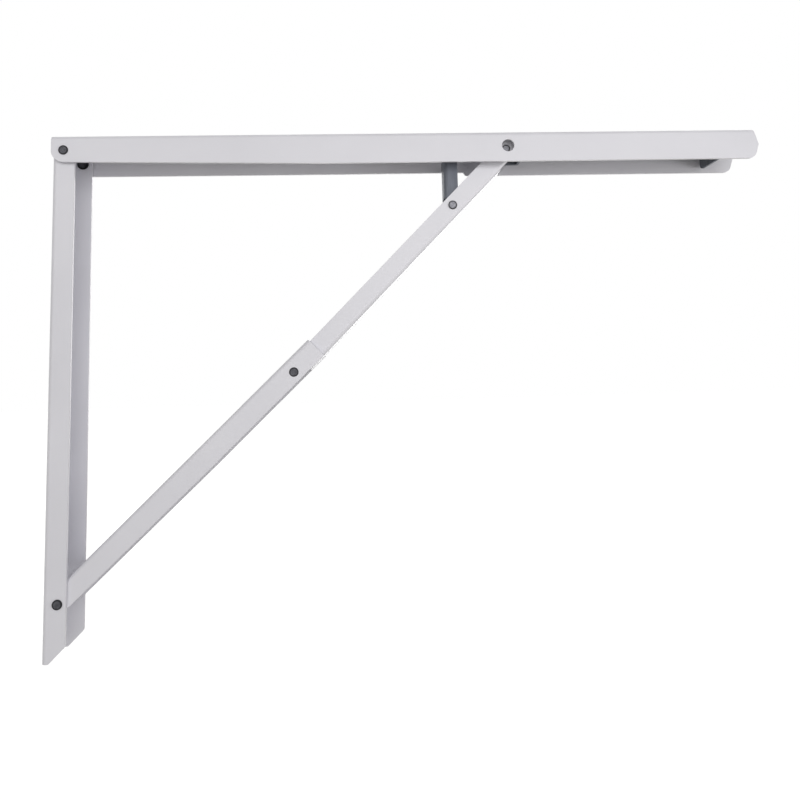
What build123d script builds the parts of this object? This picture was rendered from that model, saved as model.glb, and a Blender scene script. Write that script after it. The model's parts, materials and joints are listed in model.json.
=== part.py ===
from build123d import *
import os
from math import asin, atan2, cos, degrees, hypot, sin, sqrt

os.makedirs("parts", exist_ok=True)

# Folding shelf bracket, drawn open: X runs out from the wall, Z up, Y across.
# The origin is the middle of the two wall screw holes, on the wall plane.

# Overall sizes
arm_length = 400.0
leg_length = 280.0
arm_half_width = 15.0
arm_sheet = 1.5
sheet = 1.2

# Wall screws in the leg
screw_hole_r = 2.6
screw_spacing = 205.0
screw_top_drop = 60.0
arm_top = screw_top_drop + screw_spacing / 2

# Pivots: the hinge, the foot of the strut, the knee and the strut pin
hinge_from_wall = 7.0
hinge_drop = 8.2
foot_from_wall = 7.8
hinge_to_foot = 242.0
hinge_to_pin = 247.0
knee_past_centre = 3.0
catch_pivot_from_pin = 45.6

# Arm channel
arm_depth = 17.3
arm_rear_depth = 15.3
arm_depth_step = 232.0
step_run = 1.5
arm_taper_end = 150.0
arm_wall_gap = 0.3
arm_nose_bulge = 2.6
arm_nose_drop = 9.0
arm_corner_r = 5.0
bend_r = 2.4

# Leg channel
hinge_gap = 1.1
leg_depth = 12.2
leg_top_r = 6.0
leg_top_fillet = 4.0
leg_foot_flat = 3.7
leg_foot_fillet = 3.0

# Struts: the lower one nests in the leg, the upper one in the lower
leg_strut_gap = 0.4
lower_depth = 12.5
lower_edge_at_foot = 6.3
lower_edge_at_knee = 7.4
lower_past_knee = 18.0
lower_foot_r = 5.0
lower_web_start = 14.0
strut_gap = 0.9
upper_depth = 11.0
upper_web_at_knee = 5.5
upper_web_at_pin = 6.1
upper_tail_r = 5.0
upper_pin_r = 5.2
upper_web_start = 7.0
upper_web_short = 11.0
far_lip = 1.4
far_lip_end = 100.0
lip_clearance = 1.5

# How far the outline of a strut's side passes the channel that it trims
overshoot = 1.0

# Bracket under the arm's web that carries the strut pin
inner_gap = 0.4
bracket_back = 8.0
bracket_front = 10.0
bracket_r = 5.0
bracket_tongue_top = 5.2

# Catch that props the strut open
catch_length = 28.0
catch_left = 4.2
catch_right = 3.6
catch_web_start = 5.0
catch_corner_r = 1.5

# Release strip with its finger tab
strip_travel = 6.0
strip_sheet = 1.2
strip_half_width = 4.2
strip_clearance = 0.2
strip_back_from_pin = 12.0
tab_from_nose = 20.0
tab_plate_length = 20.0
tab_side_gap = 0.5
tab_above_edge = 1.7
tab_corner_r = 3.0
lug_drop = 5.0
lug_half_width = 3.0
front_guide_from_nose = 48.0
rear_guide_share = 23.4 / 65.4
guide_r = 1.5
guide_head_r = 3.0
guide_head = 1.0
slot_clearance = 0.15

# Shelf screw holes and the two access holes beside the strut pin
shelf_hole_r = 2.6
shelf_hole_first = 60.0
shelf_hole_spacing = 130.0
shelf_hole_front = 9.0
access_hole_r = 3.5

# Rivets
pin_clearance = 0.05
hinge_shank_r = 2.0
hinge_head_r = 2.6
hinge_head = 0.5
hinge_tail_r = 3.2
hinge_tail = 0.9
washer_r = 4.2
washer_clearance = 0.1
foot_shank_r = 2.0
foot_head_r = 2.6
foot_head = 0.7
foot_inner_head = 0.6
knee_shank_r = 2.2
knee_head_r = 2.6
knee_head = 0.2
catch_shank_r = 1.6
catch_head_r = 2.5
pin_shank_r = 2.0
pin_head_r = 2.4
inner_head = 0.5
head_edge = 0.12

# Springs: a curl of spring strip for the catch, a folded leaf for the release strip
catch_spring_half_width = 3.0
catch_spring_sheet = 0.5
catch_spring_bore_r = 1.8
catch_spring_leg = 10.0
spring_clearance = 0.1
return_leaf_half_width = 2.5
return_leaf = 0.5
return_leaf_height = 3.4
return_leaf_folds = 9
return_leaf_length = 22.0
spring_seat = 0.3

# Across the bracket, from the arm's outer face inwards
arm_inner = arm_half_width - arm_sheet
leg_outer = arm_inner - hinge_gap
leg_inner = leg_outer - sheet
lower_outer = leg_inner - leg_strut_gap
lower_inner = lower_outer - sheet
upper_outer = lower_inner - strut_gap
upper_inner = upper_outer - sheet
inner_outer = upper_inner - inner_gap
inner_inner = inner_outer - sheet

# Pivot places in X and Z, worked out from the links' triangle
hinge = (hinge_from_wall, arm_top - hinge_drop)
foot_side = foot_from_wall - hinge_from_wall
foot = (foot_from_wall, hinge[1] - sqrt(hinge_to_foot**2 - foot_side**2))
pin = (hinge[0] + hinge_to_pin, hinge[1])
foot_to_pin = hypot(pin[0] - foot[0], pin[1] - foot[1])
link_difference = hinge_to_foot - hinge_to_pin
link_sum = sqrt(foot_to_pin**2 + 4 * knee_past_centre**2 / (1 - (link_difference / foot_to_pin) ** 2))
lower_link = (link_sum + link_difference) / 2
upper_link = (link_sum - link_difference) / 2
line_angle = atan2(pin[1] - foot[1], pin[0] - foot[0])
lower_angle = line_angle - asin(knee_past_centre / lower_link)
knee = (foot[0] + lower_link * cos(lower_angle), foot[1] + lower_link * sin(lower_angle))
upper_angle = atan2(pin[1] - knee[1], pin[0] - knee[0])
catch_pivot = (
    pin[0] - catch_pivot_from_pin * cos(upper_angle),
    pin[1] - catch_pivot_from_pin * sin(upper_angle),
)


def slab(outline, y_low, y_high):
    """A side outline, drawn in X and Z, given its thickness across the bracket."""
    return Pos(0, y_high, 0) * extrude(Plane.XZ * outline, amount=y_high - y_low)


def rod(centre, radius, y_low, y_high):
    """A round bar across the bracket."""
    return slab(Pos(centre[0], centre[1]) * Circle(radius), y_low, y_high)


def channel_section(half_width, depth, thickness):
    """A folded U, its web at the top, at zero height, and its flanges hanging down."""
    outer = Pos(0, -depth / 2) * Rectangle(2 * half_width, depth)
    outer = fillet(outer.vertices().group_by(Axis.Y)[-1], bend_r)
    inner = Pos(0, -depth / 2 - thickness) * Rectangle(2 * (half_width - thickness), depth)
    inner = fillet(inner.vertices().group_by(Axis.Y)[-1], bend_r - thickness)
    return outer - inner


def channel_along_x(half_width, depth, thickness, start, end):
    """A folded U that runs along X with its web on top at zero height."""
    section = Plane.YZ * channel_section(half_width, depth, thickness)
    return Pos(start, 0, 0) * extrude(section, amount=end - start)


def outline(points):
    """A closed flat outline through a few corners."""
    return make_face(Polyline(*points, close=True))


def corner(sketch, x, y, radius):
    """Round the one corner of a sketch that lies nearest to a place."""
    nearest = min(sketch.vertices(), key=lambda v: hypot(v.X - x, v.Y - y))
    return fillet(nearest, radius)


def place(piece, pivot, angle):
    """Turn a strut drawn along X to its own direction and set it on its pivot."""
    return Pos(pivot[0], 0, pivot[1]) * Rot(0, -degrees(angle), 0) * piece


def save(pieces, name):
    """Write one node, which may hold several like solids."""
    solids = [s for piece in pieces for s in piece.solids()]
    shape = solids[0] if len(solids) == 1 else Compound(children=solids)
    export_step(shape, f"parts/{name}.step")


def both_sides(piece):
    """A piece and its mirror image on the far side."""
    return [piece, mirror(piece, about=Plane.XZ)]


def short_rivet(centre, shank_r, y_inner, y_outer, head_r, head, tail_r, tail):
    """A rivet through one pair of flanges: its head outside, its tail inside."""
    shank = rod(centre, shank_r, -y_outer, -y_inner)
    outer = rod(centre, head_r, -y_outer - head, -y_outer)
    outer = chamfer(outer.edges().group_by(Axis.Y)[0], head_edge)
    inner = rod(centre, tail_r, -y_inner, -y_inner + tail)
    return shank + outer + inner


def through_rivet(centre, shank_r, y_face, head_r, head):
    """A rivet right across the bracket with a flat head on each side."""
    bar = rod(centre, shank_r, -y_face, y_face)
    near = rod(centre, head_r, -y_face - head, -y_face)
    near = chamfer(near.edges().group_by(Axis.Y)[0], head_edge)
    return bar + near + mirror(near, about=Plane.XZ)


# Wall leg: a channel, its web on the wall, its foot cut off at 45 degrees
leg_top = hinge[1] + leg_top_r
leg_bottom = arm_top - leg_length
leg_side = outline(
    [
        (0, leg_top),
        (leg_depth, leg_top),
        (leg_depth, leg_bottom + leg_depth - leg_foot_flat),
        (leg_foot_flat, leg_bottom),
        (0, leg_bottom),
    ]
)
leg_side = corner(leg_side, leg_depth, leg_top, leg_top_fillet)
leg_side = corner(leg_side, leg_depth, leg_bottom + leg_depth - leg_foot_flat, leg_foot_fillet)
leg_section = Rot(0, 0, 90) * channel_section(leg_outer, leg_depth, sheet)
wall_leg = Pos(0, 0, leg_bottom) * extrude(leg_section, amount=leg_top - leg_bottom)
wall_leg &= slab(leg_side, -leg_outer, leg_outer)
wall_leg -= rod(hinge, hinge_shank_r + pin_clearance, -leg_outer, leg_outer)
wall_leg -= rod(foot, foot_shank_r + pin_clearance, -leg_outer, leg_outer)
for screw_z in (-screw_spacing / 2, screw_spacing / 2):
    wall_leg -= Pos(sheet / 2, 0, screw_z) * Rot(0, 90, 0) * Cylinder(screw_hole_r, 2 * sheet)
save([wall_leg], "wall_leg")


def arm_side(rear_depth):
    """The side outline of one arm flange, with its own depth behind the strut."""
    hinge_round = hinge[0] - arm_wall_gap
    side = outline(
        [
            (arm_wall_gap, arm_top),
            (arm_length - arm_nose_bulge, arm_top),
            (arm_length, arm_top - arm_nose_drop),
            (arm_length - arm_nose_bulge, arm_top - arm_depth),
            (arm_depth_step + step_run, arm_top - arm_depth),
            (arm_depth_step, arm_top - rear_depth),
            (arm_taper_end, arm_top - rear_depth),
            (hinge[0], hinge[1] - hinge_round),
            (arm_wall_gap, hinge[1] - hinge_round),
        ]
    )
    side = corner(side, arm_length - arm_nose_bulge, arm_top - arm_depth, arm_corner_r)
    square = Pos(arm_wall_gap + hinge_round / 2, hinge[1] - hinge_round / 2)
    return side - square * Rectangle(hinge_round, hinge_round) + Pos(*hinge) * Circle(hinge_round)


# Shelf arm: a deeper channel with its web on top, open below
arm_channel = channel_along_x(arm_half_width, arm_depth, arm_sheet, arm_wall_gap, arm_length)
arm_sides = slab(arm_side(arm_depth), -arm_half_width, 0)
arm_sides += slab(arm_side(arm_rear_depth), 0, arm_half_width)
shelf_arm = Pos(0, 0, arm_top) * arm_channel & arm_sides
shelf_arm -= rod(hinge, hinge_shank_r + pin_clearance, -arm_half_width, arm_half_width)
shelf_arm -= rod(pin, access_hole_r, -arm_half_width, arm_half_width)
shelf_holes = [shelf_hole_first, shelf_hole_first + shelf_hole_spacing, arm_length - shelf_hole_front]
for hole_x in shelf_holes:
    shelf_arm -= Pos(hole_x, 0, arm_top - arm_sheet / 2) * Cylinder(shelf_hole_r, 2 * arm_sheet)
lug_x = pin[0] + bracket_front + spring_seat + return_leaf_length + spring_seat
front_guide_x = arm_length - front_guide_from_nose
rear_guide_x = lug_x + rear_guide_share * (front_guide_x - lug_x)
guide_places = [front_guide_x, rear_guide_x]
for guide_x in guide_places:
    shelf_arm -= Pos(guide_x, 0, arm_top - arm_sheet / 2) * Cylinder(guide_r, 2 * arm_sheet)
save([shelf_arm], "shelf_arm")

# Lower strut, drawn along X from its foot: web on the upper side, open below
lower_tilt = (lower_edge_at_knee - lower_edge_at_foot) / lower_link
lower_end = lower_link + lower_past_knee
lower_channel = channel_along_x(lower_outer, lower_depth, sheet, -lower_foot_r, lower_end + lower_depth)
lower_channel = Rot(0, -degrees(lower_tilt), 0) * Pos(0, 0, lower_edge_at_foot) * lower_channel
lower_end_edge = lower_edge_at_foot + lower_tilt * lower_end
lower_side = outline(
    [
        (0, lower_foot_r),
        (lower_foot_r, lower_edge_at_foot + lower_foot_r * lower_tilt + overshoot),
        (lower_end, lower_end_edge + overshoot),
        (lower_end, lower_end_edge - lower_depth - overshoot),
        (0, -lower_foot_r),
    ]
)
lower_side += Circle(lower_foot_r)
lower_web_cut = Pos(0, 0, lower_edge_at_foot) * Box(2 * lower_web_start, 2 * lower_inner, 2 * lower_foot_r)
lower_strut = lower_channel & slab(lower_side, -lower_outer, lower_outer)
lower_strut -= lower_web_cut
lower_strut -= rod((0, 0), foot_shank_r + pin_clearance, -lower_outer, lower_outer)
lower_strut -= rod((lower_link, 0), knee_shank_r + pin_clearance, -lower_outer, lower_outer)
save([place(lower_strut, foot, lower_angle)], "lower_strut")

# Upper strut, drawn along X from the knee: web on the lower side, open above
upper_tilt = (upper_web_at_pin - upper_web_at_knee) / upper_link
upper_channel = channel_along_x(upper_outer, upper_depth + far_lip, sheet, -upper_tail_r, upper_link + upper_pin_r)
upper_channel = Pos(0, 0, -upper_web_at_knee) * Rot(180, 0, 0) * upper_channel
upper_channel = Rot(0, degrees(upper_tilt), 0) * upper_channel
upper_edge = upper_depth - upper_web_at_knee
upper_edge_at_pin = upper_edge - upper_tilt * upper_link
lip_start = lower_past_knee + lip_clearance


def upper_side(lip):
    """The side outline of one flange of the upper strut, with a lip along its lower half."""
    side = outline(
        [
            (0, upper_tail_r),
            (upper_tail_r, upper_edge),
            (lip_start, upper_edge),
            (lip_start + step_run, upper_edge + lip),
            (far_lip_end, upper_edge - upper_tilt * far_lip_end),
            (upper_link, upper_edge_at_pin),
            (upper_link, -upper_pin_r),
            (upper_link - upper_pin_r, -upper_web_at_pin - overshoot),
            (upper_tail_r, -upper_web_at_knee - overshoot),
            (0, -upper_tail_r),
        ]
    )
    return side + Circle(upper_tail_r) + Pos(upper_link, 0) * Circle(upper_pin_r)


upper_sides = slab(upper_side(0), -upper_outer, 0) + slab(upper_side(far_lip), 0, upper_outer)
upper_strut = upper_channel & upper_sides
upper_height = 2 * upper_depth
for web_start, web_end in (
    (-upper_tail_r, upper_web_start),
    (upper_link - upper_web_short, upper_link + upper_pin_r),
):
    middle = (web_start + web_end) / 2
    upper_strut -= Pos(middle, 0, 0) * Box(web_end - web_start, 2 * upper_inner, upper_height)
upper_strut -= rod((0, 0), knee_shank_r + pin_clearance, -upper_outer, upper_outer)
upper_strut -= rod((upper_link, 0), pin_shank_r + pin_clearance, -upper_outer, upper_outer)
catch_along = upper_link - catch_pivot_from_pin
upper_strut -= rod((catch_along, 0), catch_shank_r + pin_clearance, -upper_outer, upper_outer)
save([place(upper_strut, knee, upper_angle)], "upper_strut")

# Strut bracket: a small U under the arm's web that holds the strut pin
web_under = arm_top - arm_sheet
bracket_side = outline(
    [
        (pin[0] - bracket_back, web_under),
        (pin[0] + bracket_front, web_under),
        (pin[0] + bracket_front, pin[1] - bracket_r),
        (pin[0], pin[1] - bracket_r),
        (pin[0] - bracket_r, pin[1]),
    ]
)
bracket_side += Pos(*pin) * Circle(bracket_r)
bracket_channel = channel_along_x(
    inner_outer, hinge_drop + bracket_r, sheet, pin[0] - bracket_back, pin[0] + bracket_front
)
strut_bracket = Pos(0, 0, web_under) * bracket_channel & slab(bracket_side, -inner_outer, inner_outer)
tongue_top = arm_top - bracket_tongue_top
tongue_height = tongue_top - (pin[1] - bracket_r)
strut_bracket += Pos(
    pin[0] + bracket_front - sheet / 2, 0, tongue_top - tongue_height / 2
) * Box(sheet, 2 * inner_inner, tongue_height)
strut_bracket -= rod(pin, pin_shank_r + pin_clearance, -inner_outer, inner_outer)
save([strut_bracket], "strut_bracket")

# Catch: a U that stands on its rivet in the upper strut, web towards the wall
catch_top = catch_pivot[1] + catch_length
catch_side = outline(
    [
        (catch_pivot[0] - catch_left, catch_top),
        (catch_pivot[0] + catch_right, catch_top),
        (catch_pivot[0] + catch_right, catch_pivot[1]),
        (catch_pivot[0] - catch_right, catch_pivot[1]),
        (catch_pivot[0] - catch_left, catch_pivot[1] + catch_web_start),
    ]
)
catch_side += Pos(*catch_pivot) * Circle(catch_right)
catch_side = corner(catch_side, catch_pivot[0] + catch_right, catch_top, catch_corner_r)
catch_depth = catch_left + catch_right
catch_section = Rot(0, 0, 90) * channel_section(inner_outer, catch_depth, sheet)
catch_channel = extrude(catch_section, amount=catch_length + catch_right)
catch = Pos(catch_pivot[0] - catch_left, 0, catch_pivot[1] - catch_right) * catch_channel
catch &= slab(catch_side, -inner_outer, inner_outer)
web_cut_height = catch_web_start + catch_right
catch -= Pos(
    catch_pivot[0] - catch_left, 0, catch_pivot[1] - catch_right + web_cut_height / 2
) * Box(catch_depth, 2 * inner_inner, web_cut_height)
catch -= rod(catch_pivot, catch_shank_r + pin_clearance, -inner_outer, inner_outer)
save([catch], "catch")

# Release strip: slides under the arm's web on two slots and ends in a finger tab
strip_top = web_under - sheet - strip_clearance
strip_z = strip_top - strip_sheet / 2
strip_start = pin[0] - strip_back_from_pin
tab_x = arm_length - tab_from_nose
tab_half_width = arm_inner - tab_side_gap
tab_bottom = arm_top - arm_depth + tab_above_edge
release_strip = Pos((strip_start + tab_x) / 2, 0, strip_z) * Box(
    tab_x - strip_start, 2 * strip_half_width, strip_sheet
)
release_strip += Pos(tab_x - tab_plate_length / 2, 0, strip_z) * Box(
    tab_plate_length, 2 * tab_half_width, strip_sheet
)
tab = Pos(tab_x - strip_sheet / 2, 0, (strip_top + tab_bottom) / 2) * Box(
    strip_sheet, 2 * tab_half_width, strip_top - tab_bottom
)
tab = fillet(tab.edges().filter_by(Axis.X).group_by(Axis.Z)[0], tab_corner_r)
release_strip += tab
release_strip += Pos(lug_x + strip_sheet / 2, 0, strip_top - lug_drop / 2 - strip_sheet / 2) * Box(
    strip_sheet, 2 * lug_half_width, lug_drop + strip_sheet
)
slot_r = guide_r + slot_clearance
for guide_x in guide_places:
    slot = SlotOverall(strip_travel + 2 * slot_r, 2 * slot_r)
    release_strip -= Pos(guide_x - strip_travel / 2, 0, strip_z - strip_sheet) * extrude(
        slot, amount=2 * strip_sheet
    )
save([release_strip], "release_strip")

# Guide rivets that hold the strip up through its slots
guide_rivets = []
guide_low = strip_top - strip_sheet - strip_clearance
for guide_x in guide_places:
    shank = Pos(guide_x, 0, (arm_top + guide_low) / 2) * Cylinder(guide_r, arm_top - guide_low)
    head = Pos(guide_x, 0, guide_low - guide_head / 2) * Cylinder(guide_head_r, guide_head)
    collar = Pos(guide_x, 0, (web_under + strip_top + strip_clearance) / 2) * Cylinder(
        guide_head_r, web_under - strip_top - strip_clearance
    )
    guide_rivets.append(shank + head + collar)
save(guide_rivets, "strip_guide_rivets")

# Rivets at the hinge, the foot of the strut, the knee, the catch and the strut pin
hinge_head_piece = rod(hinge, hinge_head_r, -arm_half_width - hinge_head, -arm_half_width)
hinge_head_piece = chamfer(hinge_head_piece.edges().group_by(Axis.Y)[0], head_edge)
hinge_head_piece += rod(hinge, hinge_shank_r, -arm_half_width, -arm_inner)
save(both_sides(hinge_head_piece), "hinge_rivet_heads")
hinge_tail_piece = rod(hinge, hinge_shank_r, -arm_inner + washer_clearance, -leg_inner)
hinge_tail_piece += rod(hinge, hinge_tail_r, -leg_inner, -leg_inner + hinge_tail)
save(both_sides(hinge_tail_piece), "hinge_rivet_tails")
hinge_washer = rod(hinge, washer_r, -arm_inner + washer_clearance, -leg_outer)
hinge_washer -= rod(hinge, hinge_shank_r + pin_clearance, -arm_inner, -leg_outer)
save(both_sides(hinge_washer), "hinge_washers")
foot_rivet = short_rivet(
    foot, foot_shank_r, lower_inner, leg_outer, foot_head_r, foot_head, foot_head_r, foot_inner_head
)
save(both_sides(foot_rivet), "foot_rivets")
save([through_rivet(knee, knee_shank_r, lower_outer, knee_head_r, knee_head)], "knee_rivet")
knee_washer = rod(knee, washer_r, -lower_inner + washer_clearance, -upper_outer - washer_clearance)
knee_washer -= rod(knee, knee_shank_r + pin_clearance, -lower_inner, -upper_outer)
save(both_sides(knee_washer), "knee_washers")
save([through_rivet(catch_pivot, catch_shank_r, upper_outer, catch_head_r, inner_head)], "catch_rivet")
save([through_rivet(pin, pin_shank_r, upper_outer, pin_head_r, inner_head)], "strut_pin")

# Catch spring: curled round the catch rivet, its leg laid against the catch's web
curl_r = catch_spring_bore_r + catch_spring_sheet
leg_end = catch_left - sheet - spring_clearance
catch_spring_side = Circle(curl_r) + outline(
    [
        (-curl_r, 0),
        (-catch_spring_bore_r, 0),
        (catch_spring_sheet - leg_end, catch_spring_leg),
        (-leg_end, catch_spring_leg),
    ]
)
catch_spring_side = Pos(*catch_pivot) * (catch_spring_side - Circle(catch_spring_bore_r))
save([slab(catch_spring_side, -catch_spring_half_width, catch_spring_half_width)], "catch_spring")

# Return spring: a folded leaf between the bracket's tongue and the strip's lug
leaf_top = strip_top - strip_sheet - spring_seat
leaf_start = pin[0] + bracket_front + spring_seat
leaf_line = [
    (leaf_start + i * return_leaf_length / return_leaf_folds, leaf_top - (i % 2) * return_leaf_height)
    for i in range(return_leaf_folds + 1)
]
leaf_under = [(x, z - return_leaf) for x, z in reversed(leaf_line)]
return_spring = slab(outline(leaf_line + leaf_under), -return_leaf_half_width, return_leaf_half_width)
save([return_spring], "return_spring")

print("pivots, mm:", hinge, foot, knee, pin, catch_pivot)
print("links, mm:", round(lower_link, 3), round(upper_link, 3))
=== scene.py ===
# %% [markdown]
# # A white folding shelf bracket
# The real bracket is four folded steel channels on rivets: a leg for the wall, an arm for the
# shelf, and a strut in two halves that nests inside them when the bracket folds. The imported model
# gives every piece its place, so this script only dresses it: paint, plated steel, light, camera.

# %% Load the fixed frame
import json
import math

import bpy
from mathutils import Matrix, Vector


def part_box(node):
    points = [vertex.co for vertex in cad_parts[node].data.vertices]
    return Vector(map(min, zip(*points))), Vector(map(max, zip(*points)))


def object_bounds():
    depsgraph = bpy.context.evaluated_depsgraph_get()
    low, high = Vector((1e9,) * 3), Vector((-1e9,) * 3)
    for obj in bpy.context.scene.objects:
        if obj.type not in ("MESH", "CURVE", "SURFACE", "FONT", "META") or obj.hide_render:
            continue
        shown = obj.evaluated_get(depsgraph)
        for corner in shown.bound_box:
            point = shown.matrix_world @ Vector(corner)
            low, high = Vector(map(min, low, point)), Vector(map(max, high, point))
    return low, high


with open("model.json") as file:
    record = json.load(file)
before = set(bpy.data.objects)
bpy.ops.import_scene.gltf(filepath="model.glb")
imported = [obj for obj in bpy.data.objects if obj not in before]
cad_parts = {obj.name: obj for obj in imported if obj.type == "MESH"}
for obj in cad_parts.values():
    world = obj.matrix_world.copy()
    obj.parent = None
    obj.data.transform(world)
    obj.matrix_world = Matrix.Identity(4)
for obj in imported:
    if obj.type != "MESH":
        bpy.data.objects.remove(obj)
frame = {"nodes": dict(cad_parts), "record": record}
nodes = frame["nodes"]
cad_low, cad_high = [list(corner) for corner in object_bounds()]
print("nodes:", len(nodes), "box:", cad_low, cad_high)

# %% [markdown]
# ## Where the camera stands
# The photograph is taken from close by, a little below the arm, so both flanges of every channel
# show. The camera's place, turn and lens come from a fit of the bracket's edges to the picture. A
# small shift of the sensor keeps the upright edges in the right perspective, as a product
# photographer's shift lens does.

# %% Camera
SENSOR_MM = 36.0
CAMERA_LENS_MM = 30.462
CAMERA_PLACE = (0.17234, -0.38547, 0.02939)
CAMERA_TURN_DEG = (95.5082, 1.5142, -2.6065)
PICTURE_PX = 800
PRINCIPAL_PX = (400.0, 304.0)


def make_camera():
    """A shifted camera whose picture lines up with the photograph."""
    data = bpy.data.cameras.new("photo_camera")
    data.sensor_width = SENSOR_MM
    data.lens = CAMERA_LENS_MM
    half = PICTURE_PX / 2
    data.shift_x = (half - PRINCIPAL_PX[0]) / PICTURE_PX
    data.shift_y = (PRINCIPAL_PX[1] - half) / PICTURE_PX
    camera = bpy.data.objects.new("photo_camera", data)
    camera.location = CAMERA_PLACE
    camera.rotation_euler = [math.radians(angle) for angle in CAMERA_TURN_DEG]
    bpy.context.collection.objects.link(camera)
    bpy.context.scene.camera = camera
    print("camera lens:", data.lens, "shift:", round(data.shift_x, 4), round(data.shift_y, 4))


make_camera()

# %% [markdown]
# ## How the materials are built
# A painted or plated surface is never one flat colour. Each material here starts from a shader,
# then object-space noise moves its colour and its roughness a little, and a fine noise goes
# through a bump node. Object coordinates are used because a folded sheet has no useful UV map, and
# they keep the grain the same size on every piece.

# %% Material helpers
NOISE_RANGE = (0.3, 0.7)
COARSE_DETAIL = 1.0
PLAIN_DETAIL = 3.0
FINE_DETAIL = 4.0
NO_STRETCH = (1.0, 1.0, 1.0)
FULL = 1.0


def new_material(name):
    """An empty node material and its output's shader."""
    material = bpy.data.materials.new(name)
    material.use_nodes = True
    tree = material.node_tree
    shader = tree.nodes["Principled BSDF"]
    return material, tree, shader


def object_noise(tree, scale, detail=PLAIN_DETAIL, stretch=NO_STRETCH):
    """Noise in the object's own space, in metres, so its grain has a real size."""
    place = tree.nodes.new("ShaderNodeTexCoord")
    mapping = tree.nodes.new("ShaderNodeMapping")
    mapping.inputs["Scale"].default_value = stretch
    noise = tree.nodes.new("ShaderNodeTexNoise")
    noise.inputs["Scale"].default_value = scale
    noise.inputs["Detail"].default_value = detail
    tree.links.new(place.outputs["Object"], mapping.inputs["Vector"])
    tree.links.new(mapping.outputs["Vector"], noise.inputs["Vector"])
    return noise.outputs["Fac"]


def ramp(tree, value, colours, places=NOISE_RANGE):
    """A colour ramp between two colours."""
    node = tree.nodes.new("ShaderNodeValToRGB")
    for element, colour, position in zip(node.color_ramp.elements, colours, places):
        element.position = position
        element.color = (*colour, FULL)
    tree.links.new(value, node.inputs["Fac"])
    return node.outputs["Color"]


def map_range(tree, value, source, target=(0.0, 1.0)):
    """Maps the numbers between two limits to those between two others."""
    node = tree.nodes.new("ShaderNodeMapRange")
    for name, number in zip(("From Min", "From Max", "To Min", "To Max"), (*source, *target)):
        node.inputs[name].default_value = number
    tree.links.new(value, node.inputs["Value"])
    return node.outputs["Result"]


def vector_math(tree, operation, first, second=None):
    """A vector sum of a socket and another socket or plain vector."""
    node = tree.nodes.new("ShaderNodeVectorMath")
    node.operation = operation
    tree.links.new(first, node.inputs[0])
    if isinstance(second, bpy.types.NodeSocket):
        tree.links.new(second, node.inputs[1])
    elif second:
        node.inputs[1].default_value = second
    return node


def add_bump(tree, shader, value, height):
    """A bump of a real height, in metres."""
    node = tree.nodes.new("ShaderNodeBump")
    node.inputs["Strength"].default_value = FULL
    node.inputs["Distance"].default_value = height
    tree.links.new(value, node.inputs["Height"])
    tree.links.new(node.outputs["Normal"], shader.inputs["Normal"])


# %% [markdown]
# ## White powder coat
# Powder coat is sprayed on dry and melted in an oven. It comes out smooth and half glossy, with a
# faint orange-peel ripple of a millimetre or two, and it is a cool, slightly grey white. The ripple
# is a bump of a few microns; two noises, one broad and one fine, keep the white from looking flat.
# The cut edges of the sheet get thin grey lines of painted shade, standing for the shade of an edge
# that turns away from the light. The bevel node finds them: near an edge its rounded normal differs
# from the face's own.

# %% White powder coat
PAINT_WHITES = ((0.725, 0.722, 0.77), (0.775, 0.772, 0.82))
# grey of the painted shade along the cut edges of the sheet
EDGE_SHADE_GREY = (0.30, 0.30, 0.30)
EDGE_REACH = 0.0003
EDGE_SAMPLES = 8
EDGE_DOTS = (0.95, 0.75)
PAINT_ROUGH = (0.30, 0.42)
COAT_WEIGHT = 0.25
COAT_ROUGH = 0.3
PEEL_SCALE = 620.0
PEEL_HEIGHT = 0.000003
CLOUD_SCALE = 18.0


# marks the cut edges that get painted shade
def edge_shade_mask(tree):
    """One at a sharp edge and zero on a flat or gently bent face."""
    rounded = tree.nodes.new("ShaderNodeBevel")
    rounded.samples = EDGE_SAMPLES
    rounded.inputs["Radius"].default_value = EDGE_REACH
    plain = tree.nodes.new("ShaderNodeNewGeometry")
    dot = vector_math(tree, "DOT_PRODUCT", rounded.outputs["Normal"], plain.outputs["Normal"])
    return map_range(tree, dot.outputs["Value"], EDGE_DOTS)


def blend(tree, share, first, second):
    """A colour that goes from the first, a socket, to the second, a plain colour."""
    mix = tree.nodes.new("ShaderNodeMix")
    mix.data_type = "RGBA"
    tree.links.new(share, mix.inputs["Factor"])
    tree.links.new(first, mix.inputs["A"])
    mix.inputs["B"].default_value = (*second, FULL)
    return mix.outputs["Result"]


def white_powder_coat():
    """The sprayed white finish of the four channels."""
    material, tree, shader = new_material("white_powder_coat")
    cloud = object_noise(tree, CLOUD_SCALE)
    white = ramp(tree, cloud, PAINT_WHITES)
    # the cut edges are blended towards the grey of painted shade
    tree.links.new(blend(tree, edge_shade_mask(tree), white, EDGE_SHADE_GREY), shader.inputs["Base Color"])
    tree.links.new(map_range(tree, cloud, NOISE_RANGE, PAINT_ROUGH), shader.inputs["Roughness"])
    shader.inputs["Coat Weight"].default_value = COAT_WEIGHT
    shader.inputs["Coat Roughness"].default_value = COAT_ROUGH
    add_bump(tree, shader, object_noise(tree, PEEL_SCALE, COARSE_DETAIL), PEEL_HEIGHT)
    return material


# %% [markdown]
# ## Dark plated steel
# The catch, the strut bracket and the release strip are bare pressed steel with a dark plating.
# It looks blue-grey where light reaches it. Fine lines along the rolled sheet come from a noise
# that is stretched a long way in one direction.

# %% Dark plated steel
PLATE_GREYS = ((0.13, 0.14, 0.165), (0.21, 0.225, 0.26))
PLATE_ROUGH = (0.42, 0.6)
PLATE_METAL = 0.2
PLATE_SHINE = 0.1
ROLL_SCALE = 260.0
ROLL_STRETCH = (1.0, 8.0, 0.12)
ROLL_HEIGHT = 0.000006


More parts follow.
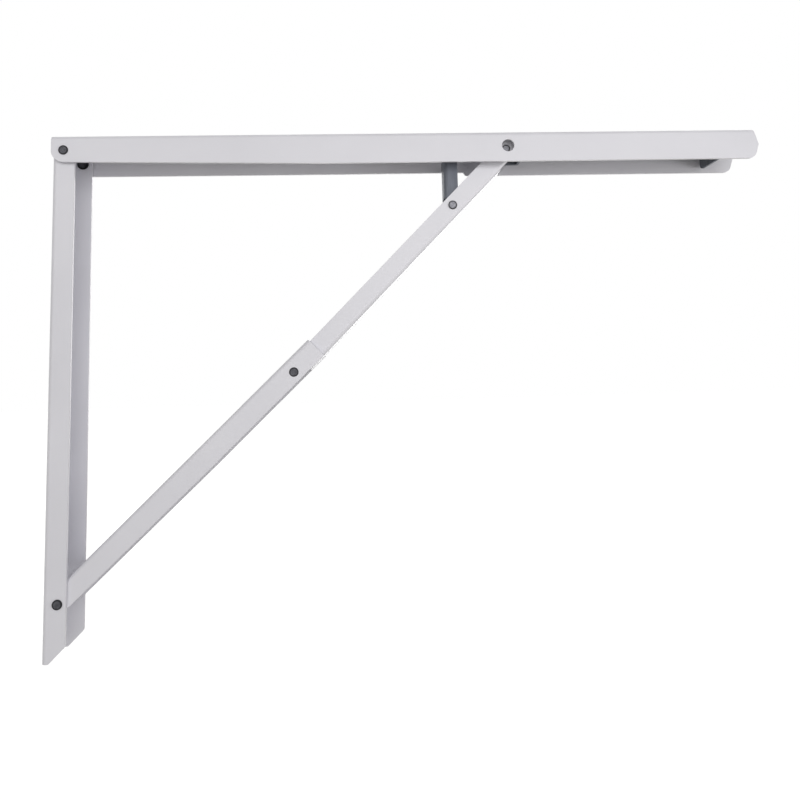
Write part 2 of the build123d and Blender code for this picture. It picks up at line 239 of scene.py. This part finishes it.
def dark_plated_steel():
    """Rolled and plated sheet, used for the inner pieces."""
    material, tree, shader = new_material("dark_plated_steel")
    lines = object_noise(tree, ROLL_SCALE, FINE_DETAIL, ROLL_STRETCH)
    tree.links.new(ramp(tree, lines, PLATE_GREYS), shader.inputs["Base Color"])
    tree.links.new(map_range(tree, lines, NOISE_RANGE, PLATE_ROUGH), shader.inputs["Roughness"])
    shader.inputs["Metallic"].default_value = PLATE_METAL
    shader.inputs["Specular IOR Level"].default_value = PLATE_SHINE
    add_bump(tree, shader, lines, ROLL_HEIGHT)
    return material


# %% [markdown]
# ## Rivets
# The rivets are soft steel. A tool presses each end flat, which leaves a ring: the middle of the
# disc is mottled and its rim is darker. The rim is partly painted shade, where the disc meets its
# hole, and partly the paint and dirt of the press that gather there. The ring is drawn by the
# distance from the rivet's own axis, and that axis is read from the frame. The catch rivet and the
# strut pin are bright in the middle; the others are near black.

# %% Rivet steel
BLACK_MIDDLE = ((0.035, 0.035, 0.04), (0.085, 0.085, 0.095))
BRIGHT_MIDDLE = ((0.10, 0.10, 0.115), (0.24, 0.24, 0.26))
# dark of the rim: painted shade where the disc meets its hole, together with gathered paint
RIVET_RIM_SHADE_AND_PAINT = (0.012, 0.012, 0.014)
RIM_SHARES = (0.62, 0.86)
MOTTLE_RANGE = (0.4, 0.6)
ACROSS_Y = (1.0, 0.0, 1.0)
MM_PER_M = 1000
RIVET_ROUGH = (0.3, 0.55)
RIVET_METAL = 0.7
RIVET_SCALE = 1400.0
RIVET_DENT = 0.00004


# marks the rim that gets painted shade and gathered paint
def rim_shade_and_paint_mask(tree, node):
    """Zero in the middle of a rivet's disc and one at its rim."""
    low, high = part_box(node)
    centre = [(low[axis] + high[axis]) / 2 for axis in range(3)]
    radius = (high[0] - low[0]) / 2
    place = tree.nodes.new("ShaderNodeTexCoord")
    offset = vector_math(tree, "SUBTRACT", place.outputs["Object"], centre)
    across = vector_math(tree, "MULTIPLY", offset.outputs["Vector"], ACROSS_Y)
    length = vector_math(tree, "LENGTH", across.outputs["Vector"])
    print(node, "disc radius:", round(radius * MM_PER_M, 2), "mm")
    return map_range(tree, length.outputs["Value"], [share * radius for share in RIM_SHARES])


def rivet_steel(node, middle):
    """The pressed end of one rivet."""
    material, tree, shader = new_material("rivet_steel_" + node)
    mottle = object_noise(tree, RIVET_SCALE, FINE_DETAIL)
    disc = ramp(tree, mottle, middle, MOTTLE_RANGE)
    # the rim is blended towards a dark of painted shade and gathered paint
    tree.links.new(blend(tree, rim_shade_and_paint_mask(tree, node), disc, RIVET_RIM_SHADE_AND_PAINT), shader.inputs["Base Color"])
    tree.links.new(map_range(tree, mottle, NOISE_RANGE, RIVET_ROUGH), shader.inputs["Roughness"])
    shader.inputs["Metallic"].default_value = RIVET_METAL
    add_bump(tree, shader, mottle, RIVET_DENT)
    return material


# %% [markdown]
# ## Plain zinc and spring steel
# The washers and the guide rivets of the strip are zinc plated: a paler, mottled grey. The two
# springs are bright hard strip, smoother than the rest. One helper makes both.

# %% Zinc and spring steel
ZINC_GREYS = ((0.16, 0.16, 0.17), (0.3, 0.3, 0.31))
ZINC_ROUGH = (0.3, 0.5)
ZINC_SCALE = 900.0
SPRING_GREYS = ((0.25, 0.25, 0.26), (0.4, 0.4, 0.41))
SPRING_ROUGH = (0.2, 0.35)
SPRING_SCALE = 500.0
BRIGHT_METAL = 0.8


def bright_steel(name, greys, rough, scale):
    """Bright steel with a fine mottled surface."""
    material, tree, shader = new_material(name)
    mottle = object_noise(tree, scale, FINE_DETAIL)
    tree.links.new(ramp(tree, mottle, greys), shader.inputs["Base Color"])
    tree.links.new(map_range(tree, mottle, NOISE_RANGE, rough), shader.inputs["Roughness"])
    shader.inputs["Metallic"].default_value = BRIGHT_METAL
    add_bump(tree, shader, mottle, ROLL_HEIGHT)
    return material


# %% [markdown]
# ## Dress every node
# The record names a finish for each piece, so a small table from finish to material is enough.
# The rivets that show get a material of their own, because each has its own axis.

# %% Assign the materials
FINISHES = {
    "white_paint": white_powder_coat(),
    "dark_steel": dark_plated_steel(),
    "rivet_steel": bright_steel("zinc_steel", ZINC_GREYS, ZINC_ROUGH, ZINC_SCALE),
    "spring_wire": bright_steel("spring_steel", SPRING_GREYS, SPRING_ROUGH, SPRING_SCALE),
}
RIVET_MIDDLES = {
    "hinge_rivet_heads": BLACK_MIDDLE,
    "hinge_rivet_tails": BLACK_MIDDLE,
    "foot_rivets": BLACK_MIDDLE,
    "knee_rivet": BLACK_MIDDLE,
    "catch_rivet": BRIGHT_MIDDLE,
    "strut_pin": BRIGHT_MIDDLE,
}

for subpart in frame["record"]["subparts"]:
    node = subpart["node"]
    finish = FINISHES[subpart["material_slot"]]
    if node in RIVET_MIDDLES:
        finish = rivet_steel(node, RIVET_MIDDLES[node])
    nodes[node].data.materials.clear()
    nodes[node].data.materials.append(finish)

# %% [markdown]
# ## A white studio
# The photograph is a cut-out on pure white. More light would burn out the paint, so the white
# comes from the backdrop's own material instead. For the eye, and for what the gloss mirrors, the
# floor is half a plain white glow and half its real, lit surface, and that half keeps the shadow.
# For every other ray it is an ordinary grey floor, which throws a soft, warm light up into the
# channels. The glow rises away from the bracket, where the lamps no longer reach, so that no horizon
# shows. From below the floor is clear, so the bracket can be looked at from there too.

# %% Floor and world
FLOOR_DROP = 0.15
FLOOR_SIZE = 12.0
FLOOR_GREY = (0.5, 0.49, 0.455, 1.0)
FLOOR_WHITE = (0.9, 0.9, 0.9, 1.0)
GLOW_REACH = (0.3, 1.5)
GLOW_STRENGTHS = (1.6, 1.85)
SHADOW_SHARE = 0.5
WORLD_STRENGTH = 0.36
WORLD_LIGHT = (1.0, 0.985, 0.95, 1.0)
WHITE = (1.0, 1.0, 1.0, 1.0)


def larger(tree, first, second):
    """The larger of two sockets."""
    node = tree.nodes.new("ShaderNodeMath")
    node.operation = "MAXIMUM"
    tree.links.new(first, node.inputs[0])
    tree.links.new(second, node.inputs[1])
    return node.outputs[0]


def white_rays(tree):
    """One for the rays that should meet plain white: camera, glossy and transmission rays."""
    path = tree.nodes.new("ShaderNodeLightPath").outputs
    glossy = larger(tree, path["Is Glossy Ray"], path["Is Transmission Ray"])
    return larger(tree, path["Is Camera Ray"], glossy)


def mix_shaders(tree, share, first, second):
    """A mix of two shaders, the second by its share."""
    mix = tree.nodes.new("ShaderNodeMixShader")
    if isinstance(share, float):
        mix.inputs["Fac"].default_value = share
    else:
        tree.links.new(share, mix.inputs["Fac"])
    tree.links.new(first, mix.inputs[1])
    tree.links.new(second, mix.inputs[2])
    return mix.outputs[0]


def make_world():
    """A soft, even surround that looks white and lights the bracket gently."""
    world = bpy.data.worlds.new("white_surround")
    bpy.context.scene.world = world
    world.use_nodes = True
    tree = world.node_tree
    lit = tree.nodes["Background"]
    lit.inputs["Color"].default_value = WORLD_LIGHT
    lit.inputs["Strength"].default_value = WORLD_STRENGTH
    seen = tree.nodes.new("ShaderNodeBackground")
    seen.inputs["Color"].default_value = WHITE
    seen.inputs["Strength"].default_value = FULL
    shader = mix_shaders(tree, white_rays(tree), lit.outputs[0], seen.outputs[0])
    tree.links.new(shader, tree.nodes["World Output"].inputs["Surface"])


def floor_material():
    """Grey floor for the light, white floor with a shadow for the eye, and clear from below."""
    material, tree, shader = new_material("pale_floor")
    tree.nodes.remove(shader)
    grey = tree.nodes.new("ShaderNodeBsdfDiffuse")
    grey.inputs["Color"].default_value = FLOOR_GREY
    white = tree.nodes.new("ShaderNodeBsdfDiffuse")
    white.inputs["Color"].default_value = FLOOR_WHITE
    glow = tree.nodes.new("ShaderNodeEmission")
    glow.inputs["Color"].default_value = WHITE
    place = tree.nodes.new("ShaderNodeTexCoord")
    away = vector_math(tree, "LENGTH", place.outputs["Object"])
    rise = map_range(tree, away.outputs["Value"], GLOW_REACH, GLOW_STRENGTHS)
    tree.links.new(rise, glow.inputs["Strength"])
    shown = mix_shaders(tree, SHADOW_SHARE, glow.outputs[0], white.outputs[0])
    mixed = mix_shaders(tree, white_rays(tree), grey.outputs[0], shown)
    side = tree.nodes.new("ShaderNodeNewGeometry")
    clear = tree.nodes.new("ShaderNodeBsdfTransparent")
    one_way = mix_shaders(tree, side.outputs["Backfacing"], mixed, clear.outputs[0])
    tree.links.new(one_way, tree.nodes["Material Output"].inputs["Surface"])
    return material


def make_floor():
    """A wide pale floor, low enough for the arm to hang free when the bracket folds."""
    height = cad_low[2] - FLOOR_DROP
    half = FLOOR_SIZE / 2
    corners = [(-half, -half), (half, -half), (half, half), (-half, half)]
    mesh = bpy.data.meshes.new("floor")
    mesh.from_pydata([(x, y, height) for x, y in corners], [], [(0, 1, 2, 3)])
    mesh.materials.append(floor_material())
    floor = bpy.data.objects.new("floor", mesh)
    bpy.context.collection.objects.link(floor)
    print("floor at", round(height, 4), "m")


make_world()
make_floor()

# %% [markdown]
# ## Soft lamps
# The photographer's main soft box stood in front, a little to the right and no higher than the
# arm: the arm is brightest towards its nose, its inside is dark above and lighter below, and the
# bends that face down and right catch a bright line. A weak lamp low on the right draws that
# line, another lifts the hinge on the left, and one behind keeps the back as plain as the front.

# %% Lamps
COOL_LIGHT = (0.99, 0.985, 1.0)
PLAIN_LIGHT = (1.0, 1.0, 1.0)
LAMPS = {
    "main": {"place": (0.46, -1.25, 0.22), "power": 5.9, "size": 0.9, "light": COOL_LIGHT},
    "left": {"place": (-0.35, -0.9, 0.42), "power": 1.2, "size": 0.5, "light": COOL_LIGHT},
    "back": {"place": (0.35, 1.25, 0.35), "power": 6.0, "size": 0.9, "light": COOL_LIGHT},
    "low_right": {"place": (0.95, -0.35, -0.06), "power": 1.5, "size": 0.25, "light": PLAIN_LIGHT},
}
LAMP_TARGET = (0.2, 0.0, 0.06)


def make_lamp(name, place, power, size, light):
    """An area lamp that faces the bracket."""
    data = bpy.data.lights.new(name, "AREA")
    data.energy = power
    data.size = size
    data.color = light
    lamp = bpy.data.objects.new(name, data)
    lamp.location = place
    away = lamp.location - type(lamp.location)(LAMP_TARGET)
    lamp.rotation_euler = away.to_track_quat("Z", "Y").to_euler()
    bpy.context.collection.objects.link(lamp)
    print(name, "lamp,", power, "W")


for lamp_name, facts in LAMPS.items():
    make_lamp(lamp_name, **facts)

# %% [markdown]
# ## Finish
# Standard view keeps the written colours.

# %% Finish
bpy.context.scene.view_settings.view_transform = "Standard"
